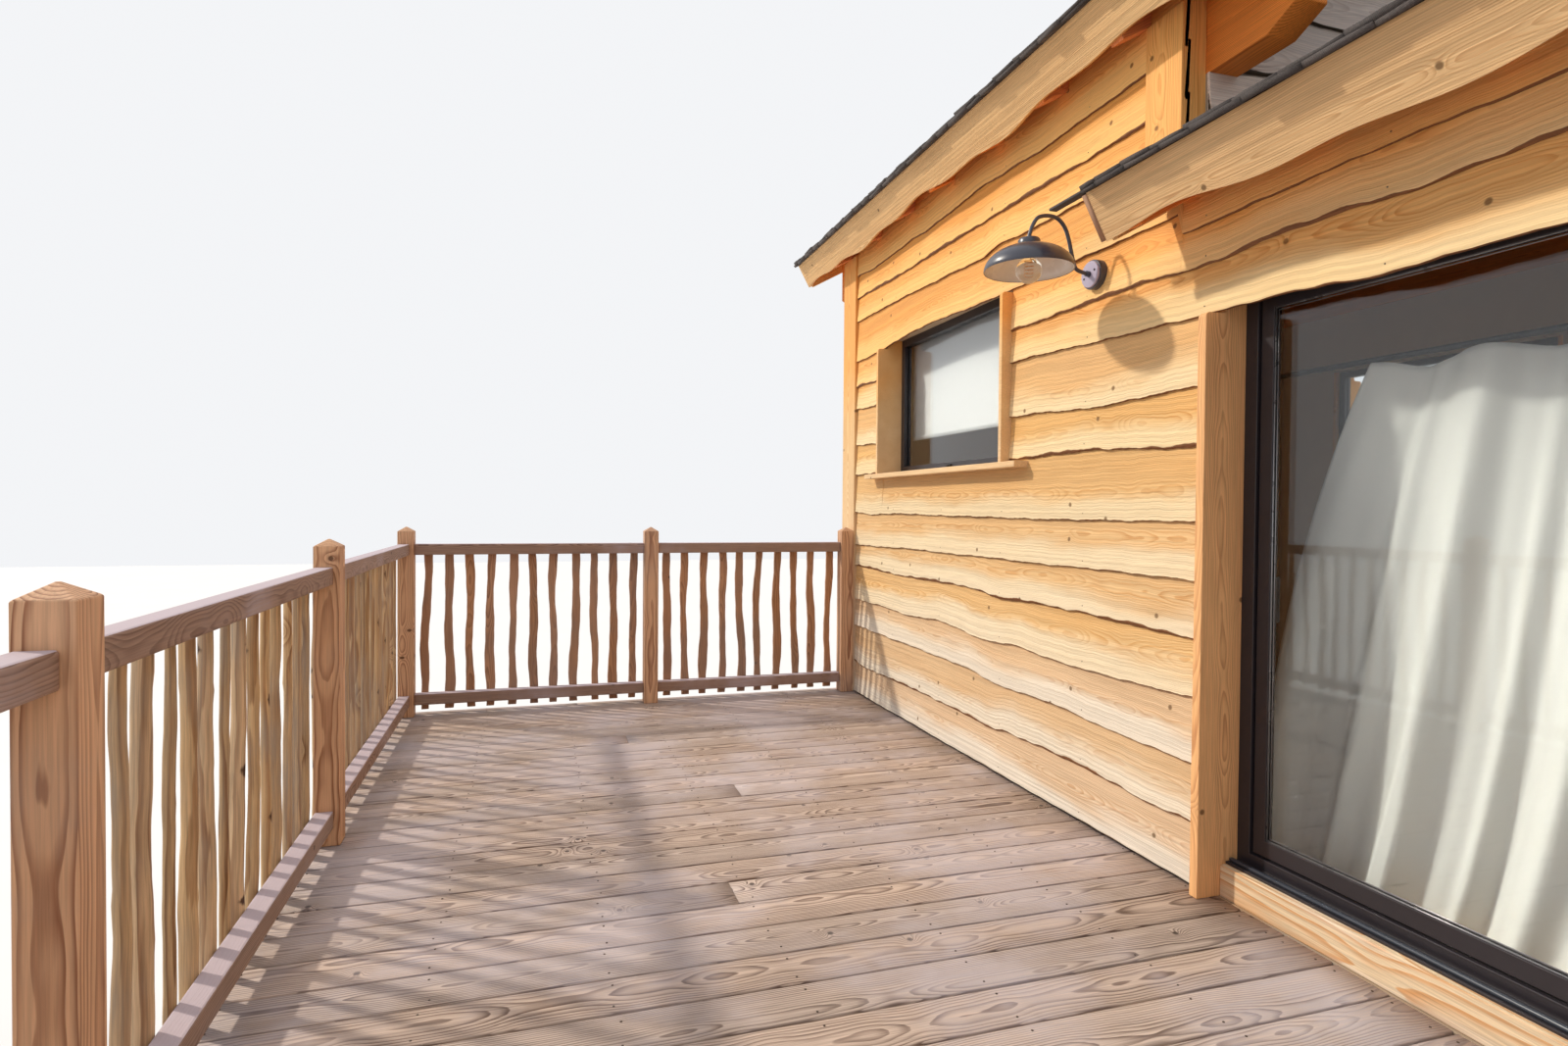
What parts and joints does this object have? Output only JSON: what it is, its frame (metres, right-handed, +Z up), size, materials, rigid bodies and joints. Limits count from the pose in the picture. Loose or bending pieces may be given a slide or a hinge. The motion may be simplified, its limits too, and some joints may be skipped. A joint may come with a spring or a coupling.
{
  "type": "stilt cabin with railed deck",
  "caption": "Timber cabin on stilts with waney-edge cladding, shake gable roofs at different heights, a sliding glass door and a deck railed with natural branches.",
  "frame": {"origin": "on the ground under the middle of the whole cabin", "axes": "+Z up, +X from the deck into the cabin, +Y along the deck towards the tall end"},
  "size_m": [7.813, 9.29, 7.2891],
  "materials": {
    "rough_timber": "sawn structural softwood, slightly greyed",
    "deck_timber": "weathered grey-brown softwood decking with open grain",
    "galvanised_steel": "dull galvanised plate",
    "floor_timber": "oiled softwood floor",
    "rail_timber": "planed softwood, greying on top",
    "peeled_branch": "peeled round branches, knotty",
    "post_timber": "planed larch, honey coloured",
    "cladding": "sawn larch boards with natural edges",
    "fascia_timber": "sawn larch, natural lower edge",
    "roof_shake": "split wooden shakes, weathered dark grey",
    "dark_frame": "anthracite powder coat, satin",
    "pane": "clear double glazing",
    "blind_cloth": "pale roller blind",
    "linen": "unbleached linen, loose folds",
    "black_steel": "matt black",
    "dark_enamel": "anthracite enamel outside, white inside the shade",
    "clear_bulb": "clear globe bulb"
  },
  "bodies": {
    "cabin": {"post_shoes": "galvanised_steel", "stilts": "rough_timber", "bearers": "rough_timber", "knee_braces": "rough_timber", "deck_joists": "rough_timber", "deck_boards": "deck_timber", "rim_boards": "deck_timber", "floor_frame": "rough_timber", "floor_boards": "floor_timber", "rail_posts": "rail_timber", "rails": "rail_timber", "branches_bay_1": "peeled_branch", "branches_bay_2": "peeled_branch", "branches_bay_3": "peeled_branch", "branches_bay_4": "peeled_branch", "planks_far_left": "rail_timber", "planks_far_right": "rail_timber", "planks_near": "rail_timber", "corner_posts": "post_timber", "wall_deck_tall": "cladding", "wall_deck_low": "cladding", "wall_over_door": "cladding", "wall_back_tall": "cladding", "wall_back_low": "cladding", "gable_far": "cladding", "gable_near": "cladding", "gable_step": "cladding", "window_frames": "dark_frame", "window_glass": "pane", "window_surrounds": "post_timber", "window_blind": "blind_cloth", "door_frame": "dark_frame", "door_sill_beam": "post_timber", "door_posts": "post_timber", "fixed_sash": "dark_frame", "fixed_glass": "pane", "curtain": "linen", "curtain_rod": "black_steel", "lamp_bracket": "dark_enamel", "lamp_shade": "dark_enamel", "lamp_bulb": "clear_bulb", "rafters": "fascia_timber", "shakes_tall": "roof_shake", "shakes_low": "roof_shake", "sarking": "fascia_timber", "ridge_caps": "roof_shake", "fascias": "fascia_timber", "barge_boards": "fascia_timber", "plates_and_ridges": "post_timber"},
    "sliding_leaf": {"sliding_sash": "dark_frame", "sliding_glass": "pane", "sliding_handle": "dark_frame"}
  },
  "joints": [
    {"name": "door_slide", "type": "slide", "parent": "cabin", "child": "sliding_leaf", "axis": [0, -1, 0], "range_m": [0, 1.05]}
  ]
}
